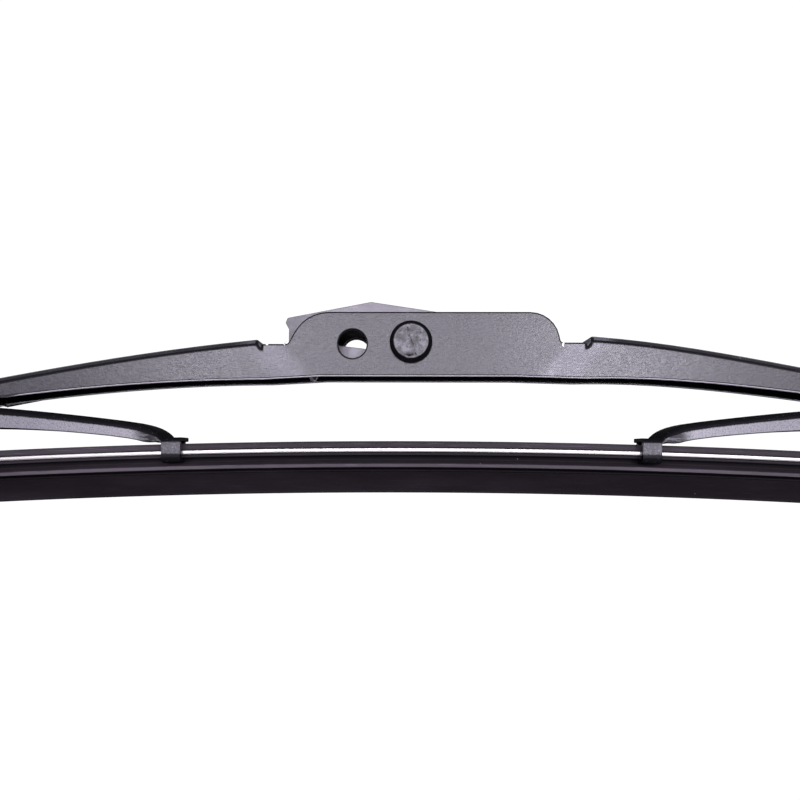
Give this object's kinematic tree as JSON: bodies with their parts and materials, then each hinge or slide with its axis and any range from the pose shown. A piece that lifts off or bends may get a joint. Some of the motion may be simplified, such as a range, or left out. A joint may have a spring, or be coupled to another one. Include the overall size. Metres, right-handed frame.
{
  "type": "windscreen wiper blade",
  "caption": "Steel-framed windscreen wiper blade with rocking yokes, curved rubber element and sprung lock lever for a side-pin wiper arm.",
  "frame": {"origin": "centre of the side-pin bore on the outer face of the bridge's front wall", "axes": "+X along the blade, from the pin bore towards the lever's rivet; -Y out of the bore, towards the wiper arm; +Z away from the glass"},
  "size_m": [0.4024, 0.017, 0.0556],
  "materials": {
    "black_paint": "satin",
    "yoke_paint": "satin",
    "rivet_metal": "satin, scuffed",
    "lever_metal": "satin",
    "spring_steel": "bright",
    "bush_steel": "plain",
    "nylon": "matt",
    "element_rubber": "matt",
    "cap_plastic": "matt"
  },
  "bodies": {
    "frame": {"main_bridge": "black_paint", "pivot_rivet": "rivet_metal", "pivot_bush": "bush_steel", "lever_spring": "spring_steel", "yoke_rivet_left": "rivet_metal", "yoke_rivet_right": "rivet_metal", "wiper_rubber": "element_rubber", "flexor_front": "spring_steel", "flexor_rear": "spring_steel"},
    "lever": {"lock_lever": "lever_metal"},
    "left_yoke": {"yoke_left": "yoke_paint", "yoke_liner_left": "nylon", "end_rivet_left": "rivet_metal"},
    "right_yoke": {"yoke_right": "yoke_paint", "yoke_liner_right": "nylon", "end_rivet_right": "rivet_metal"},
    "left_end_yoke": {"end_yoke_left": "yoke_paint", "end_liner_left": "nylon", "end_cap_left": "cap_plastic"},
    "right_end_yoke": {"end_yoke_right": "yoke_paint", "end_liner_right": "nylon", "end_cap_right": "cap_plastic"}
  },
  "joints": [
    {"name": "lever_turn", "type": "hinge", "parent": "frame", "child": "lever", "pos_m": [0.0134, 0.0066, 0.0004], "axis": [0, -1, 0], "range_deg": [0, 15.5], "stiffness_Nm_per_rad": 0.3, "springref_deg": -17.19, "deforming": ["lever_spring"]},
    {"name": "left_yoke_rock", "type": "hinge", "parent": "frame", "child": "left_yoke", "pos_m": [-0.0966, 0.0066, -0.0166], "axis": [0, 1, 0], "range_deg": [-5, 5], "stiffness_Nm_per_rad": 1, "deforming": ["wiper_rubber", "flexor_front", "flexor_rear"]},
    {"name": "right_yoke_rock", "type": "hinge", "parent": "frame", "child": "right_yoke", "pos_m": [0.1234, 0.0066, -0.0166], "axis": [0, -1, 0], "range_deg": [-5, 5], "stiffness_Nm_per_rad": 1, "deforming": ["wiper_rubber", "flexor_front", "flexor_rear"]},
    {"name": "left_end_yoke_rock", "type": "hinge", "parent": "left_yoke", "child": "left_end_yoke", "pos_m": [-0.1316, 0.0066, -0.02378], "axis": [0, 1, 0], "range_deg": [-6, 6], "stiffness_Nm_per_rad": 0.8, "deforming": ["wiper_rubber", "flexor_front", "flexor_rear"]},
    {"name": "right_end_yoke_rock", "type": "hinge", "parent": "right_yoke", "child": "right_end_yoke", "pos_m": [0.1584, 0.0066, -0.02378], "axis": [0, -1, 0], "range_deg": [-6, 6], "stiffness_Nm_per_rad": 0.8, "deforming": ["wiper_rubber", "flexor_front", "flexor_rear"]}
  ]
}
